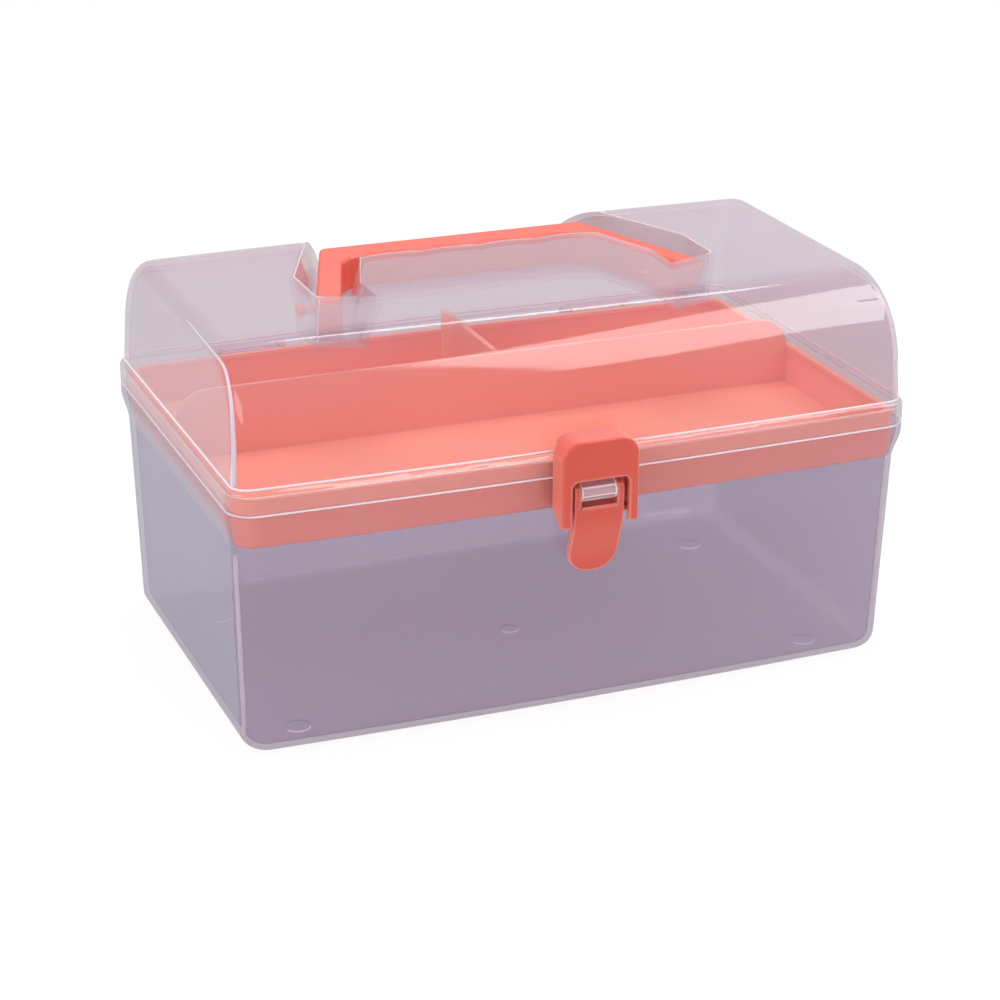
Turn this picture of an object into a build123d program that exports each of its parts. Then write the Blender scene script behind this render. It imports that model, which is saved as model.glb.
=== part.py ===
from build123d import *
import math
import os

# A handled storage box of clear plastic: a tub, a hinged lid with a sunk handle,
# a lift-out tray and a toggle latch. Millimetres, +Z up, front towards -Y.
# The origin is the centre of the flat underside of the tub.

# Outline of the box at the parting line where the lid meets the tub
rim_width = 250.0
rim_depth = 151.3
rim_crown = 2.4
rim_corner = 9.0
rim_height = 89.4
box_height = 141.0

# Tub
tub_wall = 1.95
tub_floor = 2.0
base_inset = 3.85
base_corner = 9.8
base_edge = 7.0
neck_drop = 14.4
neck_inset = 2.0
neck_corner = 9.2
flare_drop = 2.4
ledge_drop = 12.4
ledge_width = 1.0
ledge_inset = 3.1
rim_wall = 1.9
inner_corner = 7.0
mark_radius = 4.5
mark_depth = 0.5
mark_x = 98.0
mark_front_y = -54.0
mark_rear_y = 43.0
gate_radius = 3.5
gate_y = -6.0

# Lid
lid_wall = 1.75
band_height = 8.4
band_round = 2.0
loaf_root = 2.8
lid_inset = 1.75
lid_draft = 2.8
lid_straight = 13.5
lid_edge = 6.3
cut_over = 1.0

# Trench sunk in the top of the lid for the handle
trench_depth = 17.0
trench_front = -11.6
trench_front_slant = 0.35
trench_half = 74.5
trench_bend_y = 5.0
trench_slant = 0.43
trench_lean = 3.0
trench_side_lean = 0.5
trench_end_y = 100.0
trench_corner = 3.5
trench_wall = 1.8
island_half = 60.2
island_bend_y = -4.0
island_slant = 0.345
island_rear_y = 29.0
island_lean = 4.6
finger_pitch = 22.3
finger_count = 4
finger_depth = 2.0

# Handle
handle_thickness = 12.6
handle_gap = 0.4
handle_edge = 1.6
pivot_y = -1.0
pivot_depth = 8.5
pivot_radius = 2.0
pivot_reach = 78.0
pivot_clearance = 0.1
grip_rear_y = 53.5
grip_front_y = 39.0
grip_half = 51.9
grip_corner = 3.0
leg_slant = 0.35
leg_inner_rear_x = 49.6
leg_inner_rear_y = 34.0
leg_end_width = 9.5
leg_inner_corner = 5.0

# Tray
tray_gap = 0.2
tray_wall = 1.7
tray_floor = 1.6
tray_height = 16.5
tray_lip = 0.8
tray_lip_thickness = 1.6
tray_corner = 7.0
tray_inner_corner = 5.0
divider_y = 10.0
divider_thickness = 1.8
divider_height = 26.8
divider_corner = 12.0
fin_thickness = 2.2
fin_height = 28.3
fin_rear_y = 61.5

# Rear hinges: a ring of the lid clipped over a pin of the tub,
# measured from the rear of the parting line
hinge_x = 72.0
hinge_width = 22.0
hinge_y = 5.95
hinge_gap = 0.4
hinge_ear = 3.0
hinge_pin = 2.0
hinge_clearance = 0.1
hinge_ring = 3.8
hinge_mouth = 3.2
hinge_root_y = 0.35
hinge_ear_top = -5.4
hinge_ear_bottom = -8.8

# Toggle latch: a lever on the tub and a hasp carried by the lever,
# measured from the foremost point of the parting line
lever_y = -4.95
lever_z = -4.5
lever_boss = 3.4
lever_half = 9.0
lever_inner = 6.7
lever_lower_boss = 2.9
lever_pin = 1.6
lever_pin_end = 3.4
lever_clearance = 0.1
tongue_top = -9.8
tongue_bottom = -35.0
tongue_corner = 8.0
tongue_thickness = 2.6
tongue_top_y = -8.15
tongue_bottom_y = -2.55
tongue_bend_y = -7.15
tongue_bend_z = -17.4
tongue_low_y = -3.15
tongue_low_z = -30.4
lug_half = 6.4
lug_front = 3.2
lug_root_y = 1.55
lug_top = -0.4
lug_bottom = -9.5
link_length = 7.5
hasp_half = 14.0
hasp_wall = 2.2
hasp_front_y = -9.55
hasp_rear_y = -0.55
hasp_hook_y = 1.45
hasp_hook_bottom = 12.0
hasp_top = 14.9
hasp_bottom = -15.6
hasp_side_bottom = -11.1
hasp_corner = 7.0
hasp_inner_corner = 3.0
hasp_slot_half = 10.6
hasp_slot_top = 0.8
hasp_slot_corner = 2.5
hasp_edge = 1.0
link_pin = 1.5
link_pin_end = 13.1
link_clearance = 0.1
catch_half = 9.6
catch_front_y = -6.45
catch_root_low = 1.25
catch_root_high = 2.85
catch_bottom = 3.6
catch_gap = 0.2

# Heights and places that follow from the sizes above
neck_height = rim_height - neck_drop
flare_top = rim_height - flare_drop
ledge_height = rim_height - ledge_drop
band_top = rim_height + band_height
lid_shoulder = box_height - band_top - lid_straight
trench_floor = box_height - trench_depth
pivot_z = box_height - pivot_depth
tray_top = ledge_height + tray_height
divider_top = ledge_height + divider_height
fin_top = ledge_height + fin_height
link_z = lever_z - link_length
rim_front = rim_depth / 2 + rim_crown
hinge_side = Plane((0, rim_depth / 2, rim_height), x_dir=(0, 1, 0), z_dir=(1, 0, 0))
latch_side = Plane((0, -rim_front, rim_height), x_dir=(0, 1, 0), z_dir=(1, 0, 0))
latch_front = Plane((0, -rim_front, rim_height), x_dir=(1, 0, 0), z_dir=(0, -1, 0))

os.makedirs("parts", exist_ok=True)


def outline(inset):
    """Plan outline of the box drawn in by inset, with bowed front and rear sides."""
    half_x = rim_width / 2 - inset
    half_y = rim_depth / 2 - inset
    with BuildSketch() as plan:
        with BuildLine():
            ThreePointArc((-half_x, -half_y), (0, -half_y - rim_crown), (half_x, -half_y))
            Line((half_x, -half_y), (half_x, half_y))
            ThreePointArc((half_x, half_y), (0, half_y + rim_crown), (-half_x, half_y))
            Line((-half_x, half_y), (-half_x, -half_y))
        make_face()
    return plan.sketch


def section(height, inset, corner):
    """The outline with round corners, laid at a height."""
    with BuildSketch() as plan:
        add(outline(inset))
        fillet(plan.vertices(), corner)
    return Pos(0, 0, height) * plan.sketch


def drum(*sections):
    """A solid through a stack of sections, with straight sides between two of them."""
    with BuildPart() as body:
        add(sections)
        loft(ruled=len(sections) == 2)
    return body.part


def flare(low, high, inset_low, inset_high, corner_low, corner_high, steps=4):
    """A solid whose wall swings in an S from one inset to another."""
    stack = []
    for step in range(steps + 1):
        share = step / steps
        swing = (1 - math.cos(math.pi * share)) / 2
        stack.append(
            section(
                low + (high - low) * share,
                inset_low + (inset_high - inset_low) * swing,
                corner_low + (corner_high - corner_low) * share,
            )
        )
    return drum(*stack)


def loaf(bottom, top, inset, shoulder, edge):
    """Upper body of the lid: round front and rear shoulders, drafted ends, round edges."""
    with BuildPart() as body:
        with BuildSketch(Plane.XY.offset(bottom)):
            add(outline(inset))
        extrude(amount=top - bottom, taper=lid_draft)
        crest = body.edges().group_by(Axis.Z)[-1].sort_by(Axis.Y)
        fillet((crest[0], crest[-1]), shoulder)
        for side in (0, -1):
            end = body.faces().filter_by(GeomType.PLANE).sort_by(Axis.X)[side]
            fillet(end.edges().sort_by(Axis.Z)[1:], edge)
    return body.part


def trench_plan(height, grow):
    """Outline of the trench at a height, widened by grow."""
    rise = (height - trench_floor) / (box_height - trench_floor)
    front = trench_front - trench_lean * rise - grow
    half = trench_half + trench_side_lean * rise + grow
    stretch = math.hypot(1, trench_slant)
    shift = (trench_lean * rise + grow) * stretch
    bend = trench_bend_y + (trench_half + shift - half) / trench_slant
    rear_half = trench_half + shift - trench_slant * (trench_end_y - trench_bend_y)
    with BuildSketch() as plan:
        with BuildLine():
            Polyline(
                (-rear_half, trench_end_y),
                (-half, bend),
                (-half, front),
                (0, front - trench_front_slant * half),
                (half, front),
                (half, bend),
                (rear_half, trench_end_y),
                close=True,
            )
        make_face()
        corners = [plan.vertices().group_by(Axis.X)[side].sort_by(Axis.Y)[0] for side in (0, -1)]
        fillet(corners, trench_corner + grow)
    return Pos(0, 0, height) * plan.sketch


def island_plan(height, grow):
    """Outline of the island of lid top between the legs of the handle, scalloped behind."""
    rise = (height - trench_floor) / (box_height - trench_floor)
    shift = grow - island_lean * rise
    half = island_half + shift
    rear = island_rear_y + shift
    rear_half = half - island_slant * (rear - island_bend_y)
    scallop_half = finger_pitch * finger_count / 2
    front = trench_front - island_half
    with BuildSketch() as plan:
        with BuildLine():
            for finger in range(finger_count):
                start = scallop_half - finger * finger_pitch
                ThreePointArc(
                    (start, rear),
                    (start - finger_pitch / 2, rear + finger_depth),
                    (start - finger_pitch, rear),
                )
            Polyline(
                (-scallop_half, rear),
                (-rear_half, rear),
                (-half, island_bend_y),
                (-half, front),
                (half, front),
                (half, island_bend_y),
                (rear_half, rear),
                (scallop_half, rear),
            )
        make_face()
    return Pos(0, 0, height) * plan.sketch


def trench_body(grow, island_grow, floor):
    """The trench as a solid: its outline less the island, from a floor to above the lid."""
    above = box_height + trench_wall
    with BuildPart() as body:
        add(drum(trench_plan(floor, grow), trench_plan(above, grow)))
        below = floor - trench_wall
        add(
            drum(island_plan(below, island_grow), island_plan(above + cut_over, island_grow)),
            mode=Mode.SUBTRACT,
        )
    return body.part


def tub_cavity():
    """The inside of the tub: lower hollow, ledge for the tray and wide mouth."""
    with BuildPart() as body:
        low = base_inset + tub_wall
        neck = ledge_inset + ledge_width
        floor_corner = base_corner - tub_wall
        add(drum(section(tub_floor, low, floor_corner), section(ledge_height, neck, inner_corner)))
        fillet(body.faces().sort_by(Axis.Z)[0].edges(), base_edge - tub_wall)
        mouth = flare_top - cut_over
        add(flare(ledge_height, mouth, ledge_inset, rim_wall, inner_corner, inner_corner))
        above = rim_height + cut_over
        add(drum(section(mouth, rim_wall, inner_corner), section(above, rim_wall, inner_corner)))
    return body.part


# Tub
with BuildPart() as tub:
    add(drum(section(0, base_inset, base_corner), section(neck_height, neck_inset, neck_corner)))
    fillet(tub.faces().sort_by(Axis.Z)[0].edges(), base_edge)
    add(flare(neck_height, flare_top, neck_inset, 0, neck_corner, rim_corner))
    add(drum(section(flare_top, 0, rim_corner), section(rim_height, 0, rim_corner)))
    add(tub_cavity(), mode=Mode.SUBTRACT)

    # Moulding marks sunk in the underside
    with BuildSketch():
        with Locations(*[(x, y) for x in (-mark_x, mark_x) for y in (mark_front_y,)]):
            Circle(mark_radius)
        with Locations(*[(x, y) for x in (-mark_x, mark_x) for y in (mark_rear_y,)]):
            Circle(mark_radius)
        with Locations((0, gate_y)):
            Circle(gate_radius)
    extrude(amount=mark_depth, mode=Mode.SUBTRACT)

    # Ears and pins of the rear hinges
    ear_start = hinge_width / 2 + hinge_gap
    for centre in (-hinge_x, hinge_x):
        for start in (centre - ear_start - hinge_ear, centre + ear_start):
            with BuildSketch(hinge_side.offset(start)):
                with Locations((hinge_y, 0)):
                    Circle(hinge_ring)
                with BuildLine():
                    Line((hinge_root_y, hinge_ear_bottom), (hinge_root_y, hinge_ear_top))
                make_hull()
            extrude(amount=hinge_ear)
        with BuildSketch(hinge_side.offset(centre - ear_start)):
            with Locations((hinge_y, 0)):
                Circle(hinge_pin)
        extrude(amount=2 * ear_start)

    # Lug that carries the latch lever
    with BuildSketch(latch_side):
        with Locations((lever_y, lever_z)):
            Circle(lug_front)
        with BuildLine():
            Line((lug_root_y, lug_bottom), (lug_root_y, lug_top))
        make_hull()
        with Locations((lever_y, lever_z)):
            Circle(lever_pin + lever_clearance, mode=Mode.SUBTRACT)
    extrude(amount=lug_half, both=True)

# Lid
with BuildPart() as lid:
    add(drum(section(rim_height, 0, rim_corner), section(band_top, 0, rim_corner)))
    fillet(lid.faces().sort_by(Axis.Z)[-1].edges(), band_round)
    loaf_bottom = band_top - loaf_root
    add(loaf(loaf_bottom, box_height, lid_inset, lid_shoulder, lid_edge))
    lid_outer = lid.part
    add(
        drum(
            section(rim_height - cut_over, rim_wall, inner_corner),
            section(band_top - lid_wall, rim_wall, inner_corner),
        ),
        mode=Mode.SUBTRACT,
    )
    add(
        loaf(
            loaf_bottom,
            box_height - lid_wall,
            lid_inset + lid_wall,
            lid_shoulder - lid_wall,
            lid_edge - lid_wall,
        ),
        mode=Mode.SUBTRACT,
    )
    add(trench_body(trench_wall, -trench_wall, trench_floor - trench_wall) & lid_outer)
    add(trench_body(0, 0, trench_floor), mode=Mode.SUBTRACT)

    # Holes for the pins of the handle
    with BuildSketch(Plane.YZ):
        with Locations((pivot_y, pivot_z)):
            Circle(pivot_radius + pivot_clearance)
    extrude(amount=pivot_reach, both=True, mode=Mode.SUBTRACT)

    # Rings of the rear hinges
    for centre in (-hinge_x, hinge_x):
        with BuildSketch(hinge_side.offset(centre - hinge_width / 2)):
            with Locations((hinge_y, 0)):
                Circle(hinge_ring)
            with Locations((hinge_root_y, hinge_gap / 2)):
                Rectangle(
                    hinge_y - hinge_root_y,
                    hinge_ring - hinge_gap / 2,
                    align=(Align.MIN, Align.MIN),
                )
            with Locations((hinge_y, 0)):
                Circle(hinge_pin + hinge_clearance, mode=Mode.SUBTRACT)
                Rectangle(
                    hinge_mouth,
                    2 * hinge_ring,
                    align=(Align.CENTER, Align.MAX),
                    mode=Mode.SUBTRACT,
                )
        extrude(amount=hinge_width)

    # Catch over which the hasp closes
    catch_top = hasp_top - hasp_wall - catch_gap
    with BuildSketch(latch_side):
        with BuildLine():
            Polyline(
                (catch_root_low, catch_bottom),
                (catch_root_high, catch_top),
                (catch_front_y, catch_top),
                (catch_front_y, catch_bottom),
                close=True,
            )
        make_face()
    extrude(amount=catch_half, both=True)

# Handle
with BuildPart() as handle:
    handle_bottom = trench_floor + handle_gap
    leg_round = pivot_z - handle_bottom
    leg_end_y = pivot_y - leg_round
    leg_end_outer = grip_half + leg_slant * (grip_rear_y - leg_end_y)
    leg_end_inner = leg_end_outer - leg_end_width
    with BuildSketch(Plane.XY.offset(handle_bottom)) as handle_plan:
        with BuildLine():
            Polyline(
                (-grip_half, grip_rear_y),
                (-leg_end_outer, leg_end_y),
                (-leg_end_inner, leg_end_y),
                (-leg_inner_rear_x, leg_inner_rear_y),
                (-finger_pitch * finger_count / 2, grip_front_y),
            )
            for finger in range(finger_count):
                start = finger_pitch * (finger - finger_count / 2)
                ThreePointArc(
                    (start, grip_front_y),
                    (start + finger_pitch / 2, grip_front_y + finger_depth),
                    (start + finger_pitch, grip_front_y),
                )
            Polyline(
                (finger_pitch * finger_count / 2, grip_front_y),
                (leg_inner_rear_x, leg_inner_rear_y),
                (leg_end_inner, leg_end_y),
                (leg_end_outer, leg_end_y),
                (grip_half, grip_rear_y),
                (-grip_half, grip_rear_y),
            )
        make_face()
        fillet(handle_plan.vertices().group_by(Axis.Y)[-1], grip_corner)
        fillet(
            handle_plan.vertices().filter_by_position(
                Axis.Y, leg_inner_rear_y - cut_over, leg_inner_rear_y + cut_over
            ),
            leg_inner_corner,
        )
    extrude(amount=handle_thickness)
    rims = handle.faces().filter_by(Axis.Z)
    fillet(
        [edge for face in rims for edge in face.edges() if edge.center().Y > leg_end_y + handle_edge],
        handle_edge,
    )
    with BuildSketch(Plane.YZ):
        with Locations((pivot_y, pivot_z)):
            Circle(leg_round)
        with Locations((pivot_y, handle_bottom)):
            Rectangle(
                grip_rear_y - pivot_y + cut_over,
                handle_thickness,
                align=(Align.MIN, Align.MIN),
            )
    extrude(amount=pivot_reach, both=True, mode=Mode.INTERSECT)
    for direction in (-1, 1):
        pin_root = leg_end_outer - leg_round * leg_slant - pivot_radius
        with BuildSketch(Plane.YZ.offset(direction * pin_root)):
            with Locations((pivot_y, pivot_z)):
                Circle(pivot_radius)
        extrude(amount=direction * (pivot_reach - pin_root))

# Tray
with BuildPart() as tray:
    tray_inset = ledge_inset + tray_gap
    add(drum(section(ledge_height, tray_inset, tray_corner), section(tray_top, tray_inset, tray_corner)))
    floor_top = ledge_height + tray_floor
    lip_bottom = tray_top - tray_lip_thickness
    wall_inset = tray_inset + tray_wall
    add(
        drum(
            section(floor_top, wall_inset, tray_inner_corner),
            section(lip_bottom, wall_inset, tray_inner_corner),
        ),
        mode=Mode.SUBTRACT,
    )
    lip_inset = wall_inset + tray_lip
    add(
        drum(
            section(lip_bottom, lip_inset, tray_inner_corner),
            section(tray_top + cut_over, lip_inset, tray_inner_corner),
        ),
        mode=Mode.SUBTRACT,
    )
    with BuildSketch(Plane.XZ.offset(-divider_y)) as divider_face:
        with Locations((0, floor_top)):
            Rectangle(
                rim_width - 2 * wall_inset,
                divider_top - floor_top,
                align=(Align.CENTER, Align.MIN),
            )
        fillet(divider_face.vertices().group_by(Axis.Y)[-1], divider_corner)
    extrude(amount=divider_thickness / 2, both=True)
    with BuildSketch(Plane.YZ):
        with Locations((divider_y, floor_top)):
            Rectangle(fin_rear_y - divider_y, fin_top - floor_top, align=(Align.MIN, Align.MIN))
    extrude(amount=fin_thickness / 2, both=True)

# Latch lever
with BuildPart() as latch_lever:
    with BuildSketch(latch_side):
        with BuildLine():
            Spline(
                (tongue_top_y, tongue_top),
                (tongue_bend_y, tongue_bend_z),
                (tongue_low_y, tongue_low_z),
                (tongue_bottom_y, tongue_bottom),
            )
            Line((tongue_bottom_y, tongue_bottom), (tongue_bottom_y + tongue_thickness, tongue_bottom))
            Spline(
                (tongue_bottom_y + tongue_thickness, tongue_bottom),
                (tongue_low_y + tongue_thickness, tongue_low_z),
                (tongue_bend_y + tongue_thickness, tongue_bend_z),
                (tongue_top_y + tongue_thickness, tongue_top),
            )
            Line((tongue_top_y + tongue_thickness, tongue_top), (tongue_top_y, tongue_top))
        make_face()
    extrude(amount=lever_half, both=True)
    with BuildSketch(latch_front.offset(-hasp_hook_y)) as tongue_face:
        with Locations((0, tongue_bottom)):
            Rectangle(2 * lever_half, tongue_top - tongue_bottom, align=(Align.CENTER, Align.MIN))
        fillet(tongue_face.vertices().group_by(Axis.Y)[0], tongue_corner)
    extrude(amount=hasp_hook_y - hasp_front_y, mode=Mode.INTERSECT)
    for direction in (-1, 1):
        with BuildSketch(latch_side.offset(direction * lever_inner)):
            with Locations((lever_y, lever_z)):
                Circle(lever_boss)
            with Locations((lever_y, link_z)):
                Circle(lever_lower_boss)
            make_hull()
        extrude(amount=direction * (lever_half - lever_inner))
        with BuildSketch(latch_side.offset(direction * lever_inner)):
            with Locations((lever_y, lever_z)):
                Circle(lever_pin)
        extrude(amount=-direction * (lever_inner - lever_pin_end))
        with BuildSketch(latch_side.offset(direction * lever_half)):
            with Locations((lever_y, link_z)):
                Circle(link_pin)
        extrude(amount=direction * (link_pin_end - lever_half))

# Latch hasp
with BuildPart() as latch_hasp:
    with BuildSketch(latch_front.offset(-hasp_hook_y)) as hasp_face:
        with Locations((0, hasp_bottom)):
            Rectangle(2 * hasp_half, hasp_top - hasp_bottom, align=(Align.CENTER, Align.MIN))
        fillet(hasp_face.vertices().group_by(Axis.Y)[-1], hasp_corner)
    extrude(amount=hasp_hook_y - hasp_front_y)
    fillet(latch_hasp.faces().sort_by(Axis.Y)[0].edges().sort_by(Axis.Z)[1:], hasp_edge)
    with BuildSketch(latch_front.offset(-hasp_hook_y)) as hasp_hollow:
        with Locations((0, hasp_bottom)):
            Rectangle(
                2 * (hasp_half - hasp_wall),
                hasp_top - hasp_wall - hasp_bottom,
                align=(Align.CENTER, Align.MIN),
            )
        fillet(hasp_hollow.vertices().group_by(Axis.Y)[-1], hasp_inner_corner)
    extrude(amount=hasp_hook_y - hasp_front_y - hasp_wall, mode=Mode.SUBTRACT)
    with BuildSketch(latch_front.offset(-hasp_hook_y)) as hasp_slot:
        with Locations((0, hasp_bottom)):
            Rectangle(2 * hasp_slot_half, hasp_slot_top - hasp_bottom, align=(Align.CENTER, Align.MIN))
        fillet(hasp_slot.vertices().group_by(Axis.Y)[-1], hasp_slot_corner)
    extrude(amount=hasp_hook_y - hasp_front_y, mode=Mode.SUBTRACT)
    with BuildSketch(latch_side):
        with BuildLine():
            Polyline(
                (hasp_front_y + hasp_wall, hasp_bottom),
                (hasp_rear_y, hasp_side_bottom),
                (hasp_rear_y, hasp_hook_bottom),
                (hasp_hook_y, hasp_hook_bottom),
                (hasp_hook_y, hasp_bottom),
                close=True,
            )
        make_face()
    extrude(amount=hasp_half, both=True, mode=Mode.SUBTRACT)
    with BuildSketch(latch_side):
        with Locations((lever_y, link_z)):
            Circle(link_pin + link_clearance)
    extrude(amount=link_pin_end + link_clearance, both=True, mode=Mode.SUBTRACT)

tub.part.label = "tub"
lid.part.label = "lid"
handle.part.label = "handle"
tray.part.label = "tray"
latch_lever.part.label = "latch_lever"
latch_hasp.part.label = "latch_hasp"
export_step(tub.part, "parts/tub.step")
export_step(lid.part, "parts/lid.step")
export_step(handle.part, "parts/handle.step")
export_step(tray.part, "parts/tray.step")
export_step(latch_lever.part, "parts/latch_lever.step")
export_step(latch_hasp.part, "parts/latch_hasp.step")
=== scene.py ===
import math

import bmesh
import bpy
from mathutils import Matrix, Vector


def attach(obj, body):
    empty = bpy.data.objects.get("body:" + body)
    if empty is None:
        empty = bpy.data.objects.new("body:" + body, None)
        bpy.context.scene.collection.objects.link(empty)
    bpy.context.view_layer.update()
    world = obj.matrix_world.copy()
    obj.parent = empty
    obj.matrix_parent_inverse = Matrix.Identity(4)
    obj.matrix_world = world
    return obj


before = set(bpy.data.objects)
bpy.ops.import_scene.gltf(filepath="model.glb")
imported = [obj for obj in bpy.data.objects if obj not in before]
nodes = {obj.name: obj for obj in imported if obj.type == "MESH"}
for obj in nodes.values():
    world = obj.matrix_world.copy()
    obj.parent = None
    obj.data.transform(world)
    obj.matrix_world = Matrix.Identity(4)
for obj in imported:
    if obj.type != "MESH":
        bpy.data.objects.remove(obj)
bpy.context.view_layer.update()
scene = bpy.context.scene

# Camera, from the perspective of the photograph. Lengths are in metres, and the lens in millimetres
AZIMUTH = math.radians(-21.98)
ELEVATION = math.radians(21.91)
ROLL = math.radians(0.30)
DISTANCE = 0.96744
TARGET = Vector((-0.00135, 0.0, 0.05009))
SENSOR = 36.0
LENS = 94.503


def make_camera():
    """The camera on its sight line to the target, turned a little about that line."""
    back = Vector((
        math.sin(AZIMUTH) * math.cos(ELEVATION),
        -math.cos(AZIMUTH) * math.cos(ELEVATION),
        math.sin(ELEVATION),
    ))
    level = Vector((math.cos(AZIMUTH), math.sin(AZIMUTH), 0.0))
    rise = back.cross(level)
    right = level * math.cos(ROLL) + rise * math.sin(ROLL)
    up = rise * math.cos(ROLL) - level * math.sin(ROLL)
    data = bpy.data.cameras.new("camera")
    data.sensor_width = SENSOR
    data.lens = LENS
    camera = bpy.data.objects.new("camera", data)
    scene.collection.objects.link(camera)
    turn = Matrix((right, up, back)).transposed().to_4x4()
    camera.matrix_world = Matrix.Translation(TARGET + back * DISTANCE) @ turn
    scene.camera = camera


# Clear plastic: what it lets through, how much milk it carries and where, and its gloss
SHADOW_TINT = (0.975, 0.965, 0.97)
SHADOW_CLEARING = 0.85
RIM_RISE = (0.070, 0.078)
HAZE_SPREAD = 0.3
EDGE_POWER = 3.0
EDGE_HAZE = 0.5
# Painted light: towards the right end the milk is lighter and a little denser, as if more light fell from
# the right
LIT_END_RISE = (0.02, 0.13)
LIT_END_MILK = (0.50, 0.49, 0.58)
LIT_END_HAZE = 0.03
# The lug and hinges are thicker and milkier, and their milk is tinted pink: painted bounce light from the
# coral parts
LUG_START = (0.0783, 0.0788)
LUG_HAZE = 0.35
LUG_MILK_AND_BOUNCE = (0.92, 0.60, 0.64)
MILK_ROUGHNESS = 0.55
GLOSS = 0.045
GLOSS_EDGE = 0.8
GLOSS_POWER = 5.0

# Painted highlights: the bright edges of clear plastic
BEAD_DARKER = 0.9
BEAD_ROUGHNESS = 0.25
BEAD_CLEAREST = 0.8

# Coral plastic
# A painted highlight for the latch: lighter edge on, which brightens its top face, and at its rounded
# corners
HIGHLIGHT_CORAL = (0.95, 0.42, 0.36)
HIGHLIGHT_POWER = 2.0
CORNER_REACH = 0.0016
CORNER_HIGHLIGHT = 2.2
GLOW_UNDER_SKIN = 0.12
GLOW_DEPTH = 0.002
GLOW_COLOURS = (1.0, 0.25, 0.15)
CORNER_ROUND = 0.0007

# The part of its range that noise seldom leaves
NOISE_MIDDLE = (0.3, 0.7)


class Nodes:
    """The nodes of a new material or world, with short ways to add and link them."""

    def __init__(self, owner, output="ShaderNodeOutputMaterial"):
        self.owner = owner
        owner.use_nodes = True
        self.tree = owner.node_tree
        self.tree.nodes.clear()
        self.output = self.add(output)

    def add(self, kind, **values):
        """A new node, with its settings."""
        node = self.tree.nodes.new(kind)
        for key, value in values.items():
            setattr(node, key, value)
        return node

    def set(self, socket, value):
        """Link a socket to another one, or give it a value."""
        if isinstance(value, bpy.types.NodeSocket):
            self.tree.links.new(value, socket)
        else:
            socket.default_value = value

    def math(self, operation, *values, clamp=False):
        """A sum on sockets or numbers."""
        node = self.add("ShaderNodeMath", operation=operation, use_clamp=clamp)
        for socket, value in zip(node.inputs, values):
            self.set(socket, value)
        return node.outputs[0]

    def noise(self, scale, detail=2.0, stretch=(1.0, 1.0, 1.0)):
        """Noise fixed to the object, stretched along its axes."""
        place = self.add("ShaderNodeTexCoord")
        mapping = self.add("ShaderNodeMapping")
        mapping.inputs["Scale"].default_value = stretch
        self.set(mapping.inputs["Vector"], place.outputs["Object"])
        node = self.add("ShaderNodeTexNoise")
        self.set(node.inputs["Vector"], mapping.outputs[0])
        node.inputs["Scale"].default_value = scale
        node.inputs["Detail"].default_value = detail
        return node.outputs["Fac"]

    def step(self, value, low, high, first=0.0, last=1.0):
        """A value between low and high turned into one between first and last."""
        node = self.add("ShaderNodeMapRange")
        self.set(node.inputs["Value"], value)
        node.inputs["From Min"].default_value = low
        node.inputs["From Max"].default_value = high
        node.inputs["To Min"].default_value = first
        node.inputs["To Max"].default_value = last
        return node.outputs[0]

    def spread(self, noise, first, last):
        """Noise with its middle spread over a range."""
        return self.step(noise, *NOISE_MIDDLE, first, last)

    def colours(self, value, first, second):
        """A mix of two colours."""
        node = self.add("ShaderNodeMix", data_type="RGBA")
        self.set(node.inputs[0], value)
        for socket, colour in ((node.inputs[6], first), (node.inputs[7], second)):
            self.set(socket, colour if isinstance(colour, bpy.types.NodeSocket) else (*colour, 1.0))
        return node.outputs[2]

    def place(self, axis):
        """How far along an axis a point of the object lies."""
        place = self.add("ShaderNodeTexCoord")
        parts = self.add("ShaderNodeSeparateXYZ")
        self.set(parts.inputs[0], place.outputs["Object"])
        return parts.outputs[axis]

    def rounded(self, radius, samples):
        """The normal that a surface with rounded corners would have."""
        node = self.add("ShaderNodeBevel", samples=samples)
        node.inputs["Radius"].default_value = radius
        return node.outputs[0]

    def corners(self):
        """How much the surface turns within CORNER_REACH of a point."""
        alike = self.add("ShaderNodeVectorMath", operation="DOT_PRODUCT")
        self.set(alike.inputs[0], self.rounded(CORNER_REACH, samples=6))
        self.set(alike.inputs[1], self.add("ShaderNodeNewGeometry").outputs["Normal"])
        return self.math("SUBTRACT", 1.0, alike.outputs["Value"], clamp=True)

    def facing(self):
        """How far the surface turns from the eye, from 0 to 1 edge on."""
        node = self.add("ShaderNodeLayerWeight")
        node.inputs["Blend"].default_value = 0.5
        return node.outputs["Facing"]

    def bump(self, height, strength, distance, normal=None):
        """A normal roughened by a height."""
        node = self.add("ShaderNodeBump")
        self.set(node.inputs["Height"], height)
        node.inputs["Strength"].default_value = strength
        node.inputs["Distance"].default_value = distance
        if normal is not None:
            self.set(node.inputs["Normal"], normal)
        return node.outputs[0]

    def mix(self, share, first, second):
        """A node that mixes two surfaces by a share."""
        node = self.add("ShaderNodeMixShader")
        self.set(node.inputs[0], share)
        self.set(node.inputs[1], first.outputs[0])
        self.set(node.inputs[2], second.outputs[0])
        return node

    def finish(self, surface):
        """The material or world, with a node as its surface."""
        self.set(self.output.inputs["Surface"], surface.outputs[0])
        return self.owner


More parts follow.
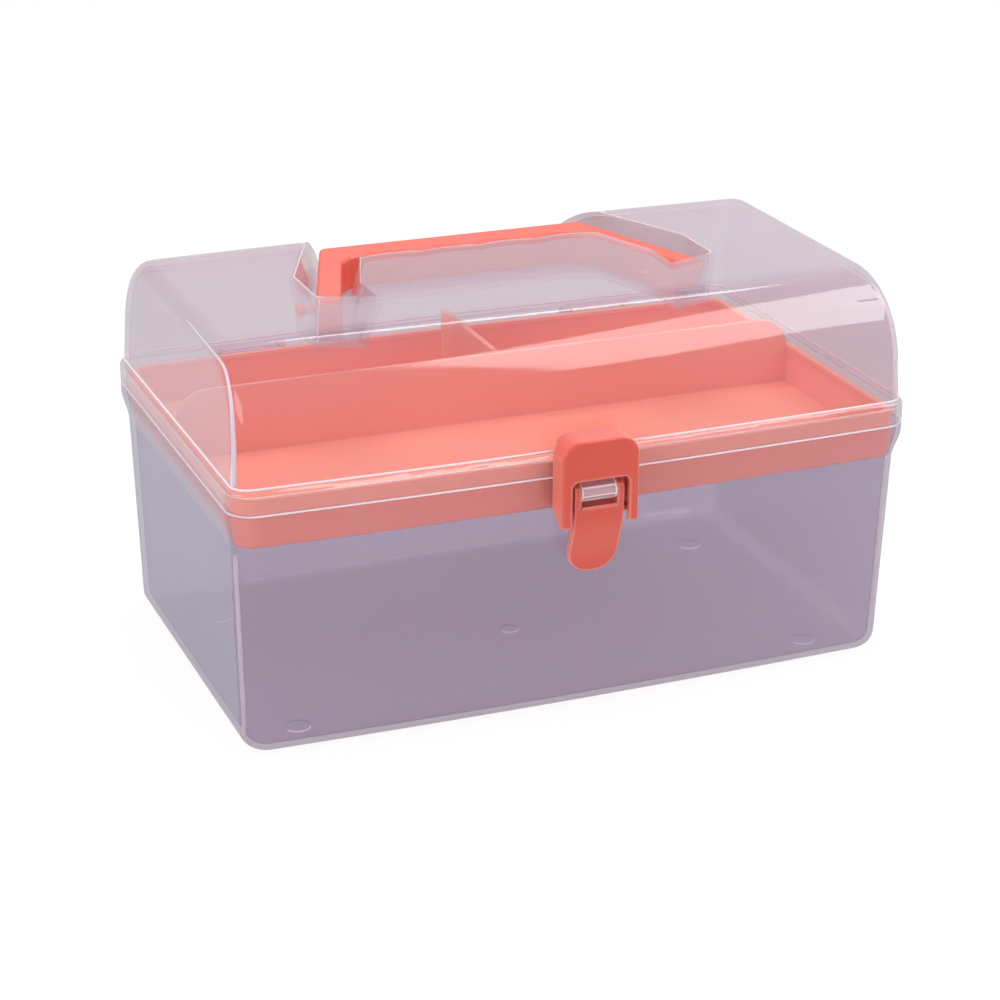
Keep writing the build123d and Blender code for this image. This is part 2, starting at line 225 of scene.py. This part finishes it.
def clear_plastic(name, tint, rim_tint, haze, haze_low, haze_high, edge_milk, roughness):
    """Thin moulded plastic that lets light through by a tint, with a milky haze in it and gloss on it.

    The tint changes towards the rim. The haze is denser edge on and at the lug and hinges, whose milk is
    tinted pink as painted bounce light from the coral parts.
    Towards the right end the milk is lighter and a little denser: painted light, as if more light fell from
    the right.
    For shadows and scattered light the wall is clearer, so that what is inside stays bright.
    """
    n = Nodes(bpy.data.materials.new(name))
    edge = n.facing()
    rim = n.math("POWER", edge, EDGE_POWER)
    flow = n.spread(n.noise(scale=9.0, detail=3.0, stretch=(1.0, 1.0, 2.5)), 0.0, 1.0)
    lug = n.step(n.math("ABSOLUTE", n.place("Y")), *LUG_START)
    # Painted light: a mask that grows towards the right end
    lit_right_end = n.step(n.place("X"), *LIT_END_RISE)
    path = n.add("ShaderNodeLightPath")
    lighting = n.math("MAXIMUM", path.outputs["Is Shadow Ray"], path.outputs["Is Diffuse Ray"])

    film = n.add("ShaderNodeBsdfTransparent")
    seen = n.colours(n.step(n.place("Z"), *RIM_RISE), tint, rim_tint)
    n.set(film.inputs["Color"], n.colours(lighting, seen, SHADOW_TINT))

    body = n.add("ShaderNodeBsdfPrincipled")
    milky = n.colours(lit_right_end, n.colours(flow, haze_low, haze_high), LIT_END_MILK)
    milky = n.colours(rim, milky, edge_milk)
    n.set(body.inputs["Base Color"], n.colours(lug, milky, LUG_MILK_AND_BOUNCE))
    body.inputs["Roughness"].default_value = MILK_ROUGHNESS
    body.inputs["Specular IOR Level"].default_value = 0.0
    amount = n.math("ADD", haze, n.math("MULTIPLY", flow, haze * HAZE_SPREAD))
    denser = n.math("MULTIPLY", rim, EDGE_HAZE)
    for where, share in ((lug, LUG_HAZE), (lit_right_end, LIT_END_HAZE)):
        denser = n.math("ADD", denser, n.math("MULTIPLY", where, share))
    amount = n.math("ADD", amount, denser, clamp=True)
    cleared = n.math("SUBTRACT", 1.0, n.math("MULTIPLY", lighting, SHADOW_CLEARING))
    milk = n.mix(n.math("MULTIPLY", amount, cleared), film, body)

    shine = n.add("ShaderNodeBsdfPrincipled")
    shine.inputs["Base Color"].default_value = (1.0, 1.0, 1.0, 1.0)
    shine.inputs["Metallic"].default_value = 1.0
    wear = n.noise(scale=38.0, detail=4.0)
    n.set(shine.inputs["Roughness"], n.spread(wear, roughness * 0.8, roughness * 1.25))
    n.set(shine.inputs["Normal"], n.bump(n.noise(scale=420.0), strength=0.05, distance=0.0003))
    mirror = n.math("MULTIPLY", n.math("POWER", edge, GLOSS_POWER), GLOSS_EDGE)
    mirror = n.math("ADD", mirror, GLOSS, clamp=True)
    outer = n.math("SUBTRACT", 1.0, n.add("ShaderNodeNewGeometry").outputs["Backfacing"])
    return n.finish(n.mix(n.math("MULTIPLY", mirror, outer), milk, shine))


def highlight_plastic(name, colour, clearness, glow=0.0):
    """Painted highlight: a light-coloured, mostly opaque plastic for thin beads that stand in for the bright
    lines where rounded edges of a clear wall catch light.
    """
    n = Nodes(bpy.data.materials.new(name))
    flow = n.spread(n.noise(scale=30.0), 0.0, 1.0)
    body = n.add("ShaderNodeBsdfPrincipled")
    n.set(body.inputs["Base Color"], n.colours(flow, [BEAD_DARKER * part for part in colour], colour))
    body.inputs["Roughness"].default_value = BEAD_ROUGHNESS
    # An optional glow, though the bead is no lamp: painted glow
    body.inputs["Emission Color"].default_value = (*colour, 1.0)
    body.inputs["Emission Strength"].default_value = glow
    film = n.add("ShaderNodeBsdfTransparent")
    clear = n.math("MULTIPLY", clearness, n.math("ADD", BEAD_CLEAREST, flow))
    return n.finish(n.mix(n.math("SUBTRACT", 1.0, clear), film, body))


def coral_plastic(name, first, second, roughness, gloss, painted_highlight=0.0):
    """Solid moulded plastic with faint flow marks, a grain and soft gloss.

    With a painted highlight it is lighter edge on and at its corners, standing in for the sheen on the
    latch's top face and rounded edges.
    """
    n = Nodes(bpy.data.materials.new(name))
    flow = n.spread(n.noise(scale=14.0, detail=3.0, stretch=(1.0, 1.0, 0.6)), 0.0, 1.0)
    colour = n.colours(flow, first, second)
    if painted_highlight:
        # Painted highlight: lighter edge on and at the corners
        highlight = n.math("MULTIPLY", n.math("POWER", n.facing(), HIGHLIGHT_POWER), painted_highlight)
        highlight = n.math("ADD", highlight, n.math("MULTIPLY", n.corners(), CORNER_HIGHLIGHT), clamp=True)
        colour = n.colours(highlight, colour, HIGHLIGHT_CORAL)
    body = n.add("ShaderNodeBsdfPrincipled")
    n.set(body.inputs["Base Color"], colour)
    wear = n.noise(scale=55.0, detail=4.0)
    n.set(body.inputs["Roughness"], n.spread(wear, roughness * 0.88, roughness * 1.15))
    body.inputs["Specular IOR Level"].default_value = gloss
    body.inputs["Subsurface Weight"].default_value = GLOW_UNDER_SKIN
    body.inputs["Subsurface Radius"].default_value = GLOW_COLOURS
    body.inputs["Subsurface Scale"].default_value = GLOW_DEPTH
    corner = n.rounded(CORNER_ROUND, samples=4)
    n.set(body.inputs["Normal"], n.bump(n.noise(scale=900.0), strength=0.06, distance=0.0002, normal=corner))
    return n.finish(body)


def add_mesh(name, points, faces, material):
    """A new object from points and faces."""
    mesh = bpy.data.meshes.new(name)
    mesh.from_pydata(points, [], faces)
    mesh.materials.append(material)
    piece = bpy.data.objects.new(name, mesh)
    scene.collection.objects.link(piece)
    return piece


def dress(node, material):
    """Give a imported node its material."""
    slots = nodes[node].data.materials
    slots.clear()
    slots.append(material)


def make_materials():
    """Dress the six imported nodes, and return the latch's plastic, which its shelf shares."""
    tub = clear_plastic(
        "tub_plastic",
        tint=(0.89, 0.845, 0.91),
        rim_tint=(0.90, 0.835, 0.905),
        haze=0.05,
        haze_low=(0.31, 0.28, 0.36),
        haze_high=(0.36, 0.33, 0.41),
        edge_milk=(0.25, 0.29, 0.43),
        roughness=0.09,
    )
    lid = clear_plastic(
        "lid_plastic",
        tint=(0.965, 0.93, 0.955),
        rim_tint=(0.965, 0.93, 0.955),
        haze=0.075,
        haze_low=(0.43, 0.38, 0.45),
        haze_high=(0.48, 0.43, 0.50),
        edge_milk=(0.80, 0.71, 0.76),
        roughness=0.07,
    )
    tray = coral_plastic(
        "tray_plastic",
        first=(1.0, 0.33, 0.225),
        second=(1.0, 0.35, 0.24),
        roughness=0.35,
        gloss=0.35,
    )
    handle = coral_plastic(
        "handle_plastic",
        first=(0.80, 0.145, 0.105),
        second=(0.83, 0.155, 0.115),
        roughness=0.32,
        gloss=0.4,
    )
    latch = coral_plastic(
        "latch_plastic",
        first=(0.68, 0.067, 0.035),
        second=(0.71, 0.075, 0.042),
        roughness=0.3,
        gloss=0.6,
        painted_highlight=0.9,
    )
    dress("tub", tub)
    dress("lid", lid)
    dress("tray", tray)
    dress("handle", handle)
    dress("latch_lever", latch)
    dress("latch_hasp", latch)
    return latch


# Painted highlights: bright edges of the clear plastic, as thin rounded beads along the imported model's own
# outlines
THIN = 0.00024
FULL = THIN * 1.25
WIDE = THIN * 1.3
BOLD = THIN * 1.7
SIDES = (("left", -1.0), ("right", 1.0))
MERGE = 1e-6
ON_PLANE = 1e-7
SMOOTHING = 12

# Heights of the tub's rim and of the two lines of the lid's band
RIM_LINE = 0.0892
BAND_LINE = 0.0958
CREASE = 0.09795

# Painted highlight streaks up the front corners. The lid's one goes on over the shoulder, thinner and
# thinner
CORNER = Vector((0.97, -0.25, 0.0))
LID_STREAK = 0.0011
LID_STREAK_SINK = LID_STREAK * 0.8
LID_STREAK_END = 0.15
STREAK_TOP = 0.1345
STREAK_STEPS = 40
STREAK_RUN = Vector((0.0, 0.047, 0.002))
RUN_STEPS = 24
TUB_STREAK = 0.0008
TUB_STREAK_LOW = 0.006
TUB_STREAK_HIGH = 0.073
TUB_STREAK_STEPS = 20

# The lug: the plane of its sides, and the directions its cross lines lie farthest in
LUG_SIDE = 0.0062
LUG_LINES = ((0.0, -1.0, 0.9), (0.0, -1.0, -0.3), (0.0, -1.0, -2.0))

# The moulding marks: a height inside them, their widest reach, and where their near rim starts
MARK_HEIGHT = 0.0004
MARK_REACH = 0.012
MARK_NEAR = 0.15

# The trench of the handle: half its width, which shrinks behind its bend, its ends, floor and edge
TRENCH_REACH = 0.0775
TRENCH_FRONT = -0.017
TRENCH_REAR = 0.0495
TRENCH_BEND = 0.0113
TRENCH_LEAN = 0.4
TRENCH_FLOOR = 0.1245
TRENCH_EDGE = 0.1407
TRENCH_STEPS = 6
ISLAND_REACH = 0.057


def contour(node, height, axis=2):
    """The lines in which a plane square to an axis cuts a node, each a list of points."""
    normal = [0.0, 0.0, 0.0]
    normal[axis] = 1.0
    cut = bmesh.new()
    cut.from_mesh(nodes[node].data)
    bmesh.ops.remove_doubles(cut, verts=cut.verts, dist=MERGE)
    found = bmesh.ops.bisect_plane(
        cut,
        geom=cut.verts[:] + cut.edges[:] + cut.faces[:],
        dist=ON_PLANE,
        plane_co=[height * part for part in normal],
        plane_no=normal,
    )
    links = {}
    for edge in found["geom_cut"]:
        if isinstance(edge, bmesh.types.BMEdge):
            first, last = edge.verts
            links.setdefault(first, []).append(last)
            links.setdefault(last, []).append(first)
    loops = []
    while links:
        point = next(iter(links))
        loop = []
        while point is not None:
            loop.append(point.co.copy())
            near = links.pop(point)
            point = next((other for other in near if other in links), None)
        loops.append(loop)
    cut.free()
    return loops


def width(loop):
    """How far a loop spreads from left to right."""
    across = [point.x for point in loop]
    return max(across) - min(across)


def bead(name, body, points, radius, material, closed=False, end=1.0):
    """A thin round line along points, riding on a body. At its end the radius is a share of the first."""
    curve = bpy.data.curves.new(name, "CURVE")
    curve.dimensions = "3D"
    curve.bevel_depth = radius
    curve.bevel_resolution = 2
    spline = curve.splines.new("POLY")
    spline.points.add(len(points) - 1)
    for step, (place, point) in enumerate(zip(spline.points, points)):
        place.co = (*point, 1.0)
        place.radius = 1.0 + (end - 1.0) * step / len(points)
    spline.use_cyclic_u = closed
    curve.materials.append(material)
    line = bpy.data.objects.new(name, curve)
    scene.collection.objects.link(line)
    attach(line, body)


def rim_highlight(name, body, height, sink, radius, material):
    """A painted highlight bead round the outside of a clear node at a height, sunk a little into it."""
    loop = max(contour(body, height), key=width)
    share = 1 - sink / (width(loop) / 2)
    bead(name, body, [(p.x * share, p.y * share, height) for p in loop], radius, material, closed=True)


def smooth(line):
    """The same line with the small jumps between its points evened out."""
    for _ in range(SMOOTHING):
        inner = [(a + 2 * b + c) / 4 for a, b, c in zip(line, line[1:], line[2:])]
        line = [line[0], *inner, line[-1]]
    return line


def anywhere(point):
    """True of every point."""
    return True


def ridge(node, low, high, steps, toward, kept=anywhere):
    """The line on a node that lies farthest in a level direction, from one height to another."""
    line = []
    for step in range(steps + 1):
        height = low + (high - low) * step / steps
        points = [p for loop in contour(node, height) for p in loop if kept(p)]
        line.append(max(points, key=lambda p: p.dot(toward)))
    return smooth(line)


def runs(loop, kept):
    """The stretches of a closed loop whose points are kept."""
    start = next((i for i, p in enumerate(loop) if not kept(p)), 0)
    found = [[]]
    for p in loop[start:] + loop[:start]:
        if kept(p):
            found[-1].append(p)
        elif found[-1]:
            found.append([])
    return [run for run in found if len(run) > 1]


def in_trench(point):
    """Whether a point of the lid lies at the trench of the handle, which narrows towards the rear."""
    half = TRENCH_REACH - max(0.0, point.y - TRENCH_BEND) * TRENCH_LEAN
    return abs(point.x) < half and TRENCH_FRONT < point.y < TRENCH_REAR


def beside_island(point):
    """Whether a point of the trench lies outside the island of lid top in front of the handle."""
    return in_trench(point) and abs(point.x) > ISLAND_REACH


def on_island(point):
    """Whether a point of the trench lies on that island."""
    return in_trench(point) and abs(point.x) <= ISLAND_REACH


def corner_highlights(side, sign, lid_material, tub_material):
    """Painted highlight streaks up a front corner of the tub and of the lid, there also over its shoulder.
    """
    toward = Vector((sign * CORNER.x, CORNER.y, CORNER.z)).normalized()
    line = ridge("lid", CREASE + THIN, STREAK_TOP, STREAK_STEPS, toward)
    line += [line[-1] + STREAK_RUN * step / RUN_STEPS for step in range(1, RUN_STEPS + 1)]
    line = [p - toward * LID_STREAK_SINK for p in smooth(line)]
    bead(f"lid_highlight_streak_{side}", "lid", line, LID_STREAK, lid_material, end=LID_STREAK_END)
    line = ridge("tub", TUB_STREAK_LOW, TUB_STREAK_HIGH, TUB_STREAK_STEPS, toward)
    line = [p - toward * TUB_STREAK for p in line]
    bead(f"tub_highlight_streak_{side}", "tub", line, TUB_STREAK, tub_material)


def on_lug(point):
    """Whether a point of the tub lies on the lug of the latch."""
    return point.y < -LUG_START[1]


def lug_highlights(material):
    """Painted highlights on the edges of the lug that carries the latch lever."""
    sides = []
    for side, sign in SIDES:
        outlines = [run for loop in contour("tub", sign * LUG_SIDE, 0) for run in runs(loop, on_lug)]
        outline = min(outlines, key=lambda run: min(p.y for p in run))
        sides.append(outline)
        bead(f"lug_edge_highlight_{side}", "tub", outline, WIDE, material)
    for number, toward in enumerate(LUG_LINES):
        ends = [max(outline, key=lambda p: p.dot(Vector(toward))) for outline in sides]
        bead(f"lug_line_highlight_{number}", "tub", ends, THIN, material)


def mark_glow_lines(material):
    """The near rims of the round moulding marks under the floor of the tub, as light-coloured lines with a
    painted glow for the light that the clear wall carries to them.
    """
    for number, loop in enumerate(contour("tub", MARK_HEIGHT)):
        if width(loop) < MARK_REACH:
            middle = sum(p.y for p in loop) / len(loop)
            start = middle - width(loop) * MARK_NEAR
            near = runs(loop, lambda p: p.y < start)
            bead(f"mark_edge_glow_{number}", "tub", near[0], THIN, material)


def trench_highlights(island_material, wall_material):
    """Painted highlights along the edges of the trench of the handle, and up its two front corners."""
    edge = max(contour("lid", TRENCH_EDGE), key=width)
    for number, run in enumerate(runs(edge, on_island)):
        bead(f"island_edge_highlight_{number}", "lid", run, THIN, island_material)
    for number, run in enumerate(runs(edge, beside_island)):
        bead(f"trench_edge_highlight_{number}", "lid", run, FULL, wall_material)
    for side, sign in SIDES:
        toward = Vector((sign, -1.0, 0.0))
        line = ridge("lid", TRENCH_FLOOR, TRENCH_EDGE, TRENCH_STEPS, toward, in_trench)
        bead(f"trench_corner_highlight_{side}", "lid", line, FULL, wall_material)


def make_highlights():
    """The painted highlights on all bright edges of the tub and the lid."""
    bright = highlight_plastic("bright_highlight", colour=(0.97, 0.88, 0.91), clearness=0.1)
    faint = highlight_plastic("faint_highlight", colour=(0.90, 0.77, 0.82), clearness=0.45)
    wall = highlight_plastic("wall_highlight", colour=(0.95, 0.84, 0.89), clearness=0.25)
    streak = highlight_plastic("streak_highlight", colour=(0.95, 0.88, 0.95), clearness=0.25)
    # The marks' lines glow, though they are no lamp: painted glow
    mark = highlight_plastic("mark_glow", colour=(0.85, 0.76, 0.84), clearness=0.3, glow=0.7)
    rim_highlight("tub_rim_highlight", "tub", RIM_LINE, sink=WIDE, radius=WIDE, material=bright)
    rim_highlight("lid_band_highlight", "lid", BAND_LINE, sink=THIN, radius=THIN, material=faint)
    rim_highlight("lid_crease_highlight", "lid", CREASE, sink=0.0, radius=BOLD, material=bright)
    for side, sign in SIDES:
        corner_highlights(side, sign, streak, faint)
    trench_highlights(faint, wall)
    lug_highlights(bright)
    mark_glow_lines(mark)


# Deep upper end of the lever's tongue between its side plates, as depths and heights of its profile
SHELF_HALF = 0.0066
SHELF_PROFILE = (
    (-0.0842, 0.0786),
    (-0.0842, 0.0796),
    (-0.0798, 0.0796),
    (-0.0795, 0.0795),
    (-0.0793, 0.0792),
    (-0.0793, 0.0789),
    (-0.0796, 0.0786),
)

# The lip in front of it: its depth and height, and its radius
LIP_PLACE = (-0.0860, 0.0797)
LIP_RADIUS = 0.0006


def make_shelf(material):
    """The level top of the lever's tongue, which closes the view under the lug, and its rounded lip."""
    size = len(SHELF_PROFILE)
    points = [(x, y, z) for x in (-SHELF_HALF, SHELF_HALF) for y, z in SHELF_PROFILE]
    faces = [tuple(range(size)), tuple(range(2 * size - 1, size - 1, -1))]
    for step in range(size):
        after = (step + 1) % size
        faces.append((step, size + step, size + after, after))
    shelf = add_mesh("lever_shelf", points, faces, material)
    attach(shelf, "latch_lever")
    ends = [(x, *LIP_PLACE) for x in (-SHELF_HALF, SHELF_HALF)]
    bead("lever_lip", "latch_lever", ends, LIP_RADIUS, material)


# Floor and backdrop. Both are dimmer through the plastic and in mirrors than straight to the camera
FLOOR_REACH = 30.0
FLOOR_LEVEL = -0.0003
FLOOR_PAINT = 0.9
FLOOR_SHARE = 0.86
FLOOR_GLOW = 1.03
BACKDROP_GLOW = 1.0
BEHIND_PLASTIC = 0.62
SKY = (0.93, 0.93, 0.97)
SKY_LIGHT = 0.52

# Lamps and panel, all placed round a point at the front shoulder of the lid
AROUND = Vector((0.0, -0.06, 0.13))
PANEL_DISTANCE = 3.0
PANEL_GLOW = 6.0
PANEL_LIGHT = 2.7
PANEL_CORNERS = (
    (0.27, -0.42, 0.87),
    (0.32, -0.61, 0.72),
    (0.37, -0.79, 0.50),
    (0.44, -0.74, 0.53),
    (0.525, -0.62, 0.60),
    (0.56, -0.60, 0.575),
    (0.605, -0.59, 0.54),
    (0.72, -0.45, 0.53),
    (0.83, -0.20, 0.52),
    (0.90, 0.08, 0.43),
    (0.80, 0.10, 0.60),
    (0.68, 0.12, 0.73),
    (0.535, 0.17, 0.84),
    (0.455, -0.01, 0.90),
    (0.35, -0.27, 0.89),
)


def white_glow(n, strength):
    """How brightly white glows for a ray, and whether the ray is one that sees the glow."""
    path = n.add("ShaderNodeLightPath")
    behind = n.math("MAXIMUM", path.outputs["Transparent Depth"], path.outputs["Is Glossy Ray"])
    seen = path.outputs["Is Camera Ray"]
    for kind in ("Is Glossy Ray", "Is Transmission Ray"):
        seen = n.math("MAXIMUM", seen, path.outputs[kind])
    return n.step(behind, 0.0, 1.0, strength, strength * BEHIND_PLASTIC), seen


def make_floor():
    """A white floor that glows for the camera and keeps the object's shadow."""
    n = Nodes(bpy.data.materials.new("floor_paint"))
    matt = n.add("ShaderNodeBsdfDiffuse")
    matt.inputs["Color"].default_value = (FLOOR_PAINT, FLOOR_PAINT, FLOOR_PAINT, 1.0)
    white = n.add("ShaderNodeEmission")
    glow, seen = white_glow(n, FLOOR_GLOW)
    n.set(white.inputs["Strength"], glow)
    paint = n.finish(n.mix(n.math("MULTIPLY", seen, FLOOR_SHARE), matt, white))
    ends = ((-1, -1), (1, -1), (1, 1), (-1, 1))
    points = [(x * FLOOR_REACH, y * FLOOR_REACH, FLOOR_LEVEL) for x, y in ends]
    floor = add_mesh("floor", points, [(0, 1, 2, 3)], paint)


def make_world():
    """Soft light from all round, and white where the camera and mirrors see past the object."""
    n = Nodes(bpy.data.worlds.new("world"), "ShaderNodeOutputWorld")
    soft = n.add("ShaderNodeBackground")
    soft.inputs["Color"].default_value = (*SKY, 1.0)
    soft.inputs["Strength"].default_value = SKY_LIGHT
    white = n.add("ShaderNodeBackground")
    white.inputs["Color"].default_value = (1.0, 1.0, 1.0, 1.0)
    glow, seen = white_glow(n, BACKDROP_GLOW)
    n.set(white.inputs["Strength"], glow)
    scene.world = n.finish(n.mix(seen, soft, white))


def make_panel():
    """A softly lit panel high in front on the right, which the shoulder of the lid mirrors."""
    n = Nodes(bpy.data.materials.new("panel_light"))
    glow = n.add("ShaderNodeEmission")
    mirrored = n.add("ShaderNodeLightPath").outputs["Is Glossy Ray"]
    n.set(glow.inputs["Strength"], n.step(mirrored, 0.0, 1.0, PANEL_LIGHT, PANEL_GLOW))
    points = [AROUND + Vector(corner).normalized() * PANEL_DISTANCE for corner in PANEL_CORNERS]
    panel = add_mesh("panel", points, [tuple(range(len(points)))], n.finish(glow))


def lamp(name, toward, distance, along, length, width, power):
    """A soft box in a direction from the lid's shoulder, with its long side along a given way."""
    data = bpy.data.lights.new(name, "AREA")
    data.shape = "RECTANGLE"
    data.size = length
    data.size_y = width
    data.energy = power
    box = bpy.data.objects.new(name, data)
    scene.collection.objects.link(box)
    away = Vector(toward).normalized()
    side = Vector(along)
    side = (side - away * side.dot(away)).normalized()
    turn = Matrix((side, away.cross(side), away)).transposed().to_4x4()
    box.matrix_world = Matrix.Translation(AROUND + away * distance) @ turn
    return box


def make_lamps():
    """The panel, a strip behind, a box on the left, and one above that no mirror shows."""
    make_panel()
    lamp(
        "rear_strip",
        toward=(0.36, 0.55, 0.76),
        distance=3.0,
        along=(1.0, -0.6, 0.0),
        length=0.85,
        width=0.16,
        power=3.4,
    )
    lamp(
        "left_box",
        toward=(-0.9, -0.35, 0.35),
        distance=1.3,
        along=(0.3, -1.0, 0.0),
        length=0.9,
        width=0.5,
        power=4.5,
    )
    top = lamp(
        "top_box",
        toward=(-0.1, 0.1, 1.0),
        distance=1.4,
        along=(1.0, 0.0, 0.0),
        length=1.0,
        width=0.8,
        power=12.0,
    )
    top.visible_glossy = False


make_camera()
make_shelf(make_materials())
make_highlights()
make_floor()
make_world()
make_lamps()
scene.view_settings.view_transform = "Standard"
